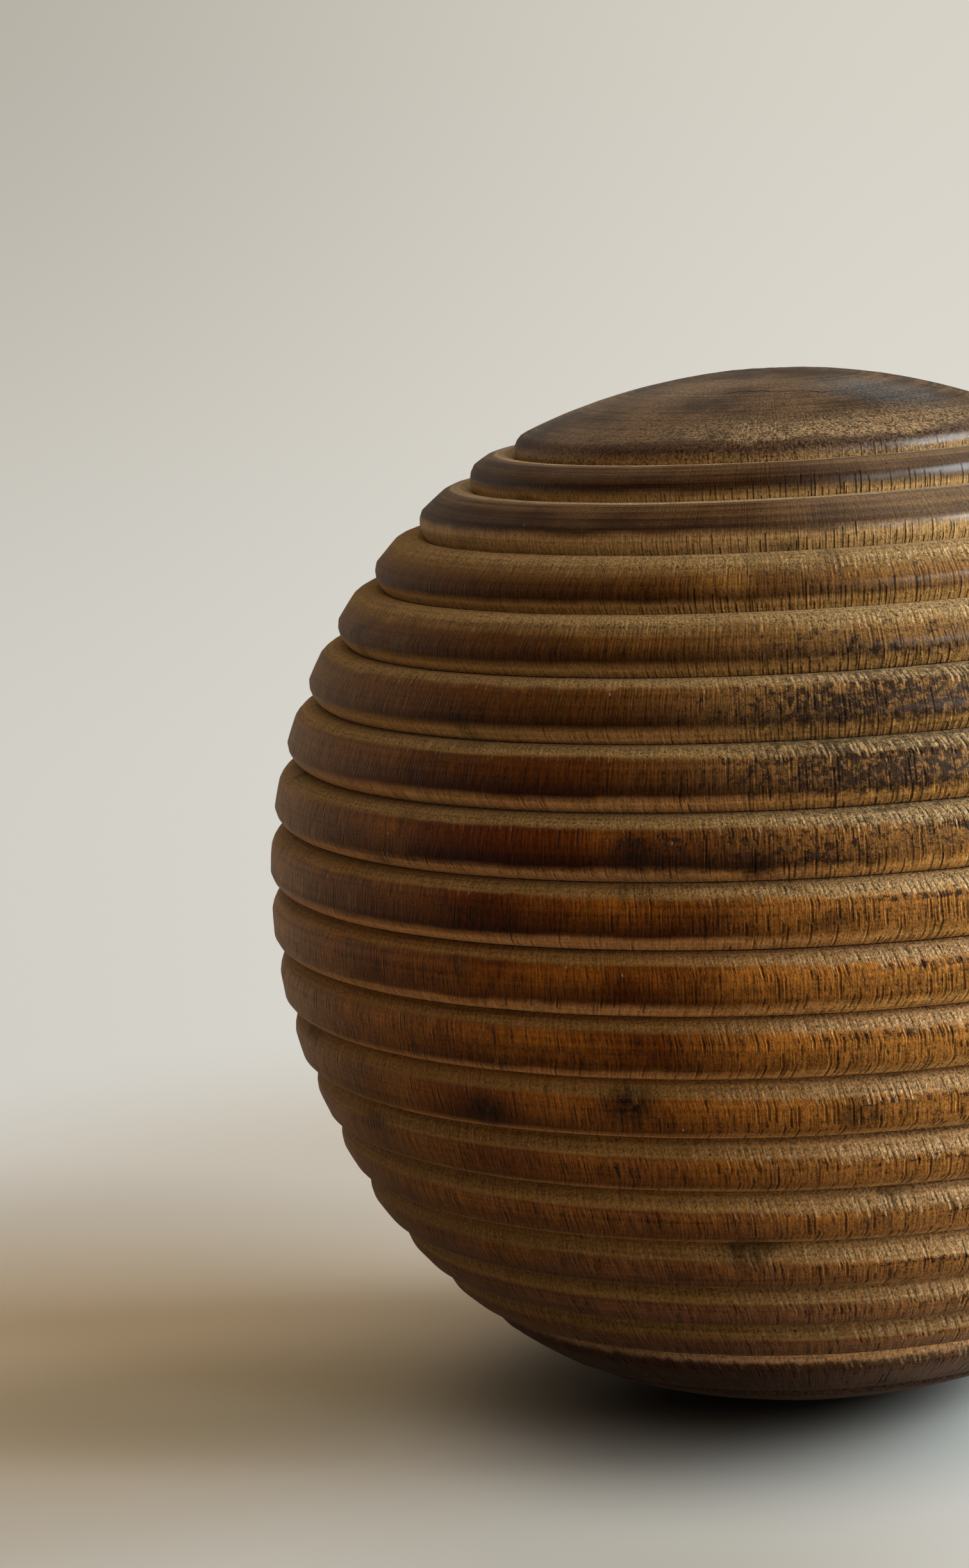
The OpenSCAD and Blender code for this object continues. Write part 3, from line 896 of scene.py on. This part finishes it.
def pale_backdrop():
    """Pale paint: a soft painted fall of light on the wall, and a matt table top that keeps the ball's
    shadow, with more light and shade painted on it.

    The wall's gradient goes by the slopes, across and up, of the line from one fixed point in front
    of the ball.  Away from the wall behind the ball it gives way to the room's plain paint.
    """
    paint = Finish(bpy.data.materials.new("pale_backdrop"))
    spot = paint.node("ShaderNodeTexCoord", {}, {}, "Object")
    split = paint.node("ShaderNodeSeparateXYZ", {}, {0: spot})
    across, back, up = split, split.other("Y"), split.other("Z")
    away = (back + GRADIENT_FRONT).most(0.05)
    rightward = (across / away).rise(-0.22, 0.06)
    upward = ((up - GRADIENT_HEIGHT) / away).rise(-0.16, 0.05)
    matt = paint.node("ShaderNodeBsdfDiffuse", {}, {"Color": table_top(paint, spot, across, back)})
    # The wall's painted fall of light: darker high up and to the left
    gradient = paint.mix(upward, paint.mix(rightward, *WALL_LOW), paint.mix(rightward, *WALL_HIGH))
    behind_ball = back.rise(-0.3, 0.1) * across.most(-across).fall(0.5, 1.5)
    wall = paint.mix(behind_ball, PLAIN, gradient)
    glow = paint.node("ShaderNodeEmission", {}, {"Color": wall, "Strength": 1.0})
    level = paint.vector("MULTIPLY", spot, (1.0, 1.0, 0.0))
    far = paint.vector("LENGTH", level, level).other("Value").rise(0.11, 0.19)
    mixed = paint.node("ShaderNodeMixShader", {}, {0: shown_ray(paint) * far, 1: matt, 2: glow})
    paint.node("ShaderNodeOutputMaterial", {}, {"Surface": mixed})
    return paint.owner


def light_room():
    """The world: dim warm light on the ball, and the plain paint wherever it is seen."""
    room = Finish(bpy.data.worlds.new("room"))
    bpy.context.scene.world = room.owner
    dim = room.node("ShaderNodeBackground", {}, {"Color": DIM_WARM, "Strength": 1.0})
    pale = room.node("ShaderNodeBackground", {}, {"Color": PLAIN, "Strength": 1.0})
    mixed = room.node("ShaderNodeMixShader", {}, {0: shown_ray(room), 1: dim, 2: pale})
    room.node("ShaderNodeOutputWorld", {}, {"Surface": mixed})


def place_light(name, middle, toward, distance, size, power, tint):
    """A soft rectangular lamp in that direction from the ball's middle, facing it."""
    way = np.array(toward) / np.linalg.norm(toward)
    lamp = bpy.data.lights.new(name, "AREA")
    lamp.shape, lamp.size, lamp.size_y = "RECTANGLE", size[0], size[1]
    lamp.energy, lamp.color = power, tint
    holder = bpy.data.objects.new(name, lamp)
    holder.location = way * distance + np.array([0, 0, middle])
    holder.rotation_mode = "QUATERNION"
    holder.rotation_quaternion = Vector(way).to_track_quat("Z", "Y")
    holder.visible_camera = False
    bpy.context.scene.collection.objects.link(holder)


def place_camera(middle):
    """A camera in front, a little above the ball, with the ball low and to the right in its frame.

    The ball's own directions are found in the camera's: its axis, the way from the camera to it
    square to the axis, and the side square to both.  The three turn the camera's place and
    directions into the ball's.
    """
    lean, tilt = math.radians(LEAN), math.radians(TILT)
    axis = np.array([math.sin(lean), -math.cos(lean) * math.cos(tilt), -math.cos(lean) * math.sin(tilt)])
    ball_spot = np.array(BALL_SPOT)
    sight = ball_spot / np.linalg.norm(ball_spot)
    away = sight - (sight @ axis) * axis
    away /= np.linalg.norm(away)
    turned = np.stack([np.cross(away, axis), away, axis])
    location = np.array([0, 0, middle]) - SPOT_UNIT * turned @ ball_spot
    right, down, ahead = turned.T
    lens = bpy.data.cameras.new("camera")
    lens.sensor_fit, lens.sensor_width = "AUTO", FILM_WIDTH
    lens.lens = FILM_WIDTH * LENS_PIXELS / FRAME_PIXELS
    lens.clip_start, lens.clip_end = 0.01, 20
    camera = bpy.data.objects.new("camera", lens)
    stand = np.eye(4)
    stand[:3] = np.stack([right, -down, -ahead, location], axis=1)
    camera.matrix_world = Matrix(stand.tolist())
    bpy.context.scene.collection.objects.link(camera)
    bpy.context.scene.camera = camera


# ------------------------------------------------------------------ the ball on its table

ball, ball_middle = build_ball()
ball.data.materials.append(turned_wood())
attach(ball, "root")
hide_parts("turned_ball")

table = build_table()
table.data.materials.append(pale_backdrop())

place_camera(ball_middle)
for lamp_name, lamp_setting in LAMPS.items():
    place_light(lamp_name, ball_middle, *lamp_setting)
light_room()
bpy.context.scene.view_settings.view_transform = "Standard"
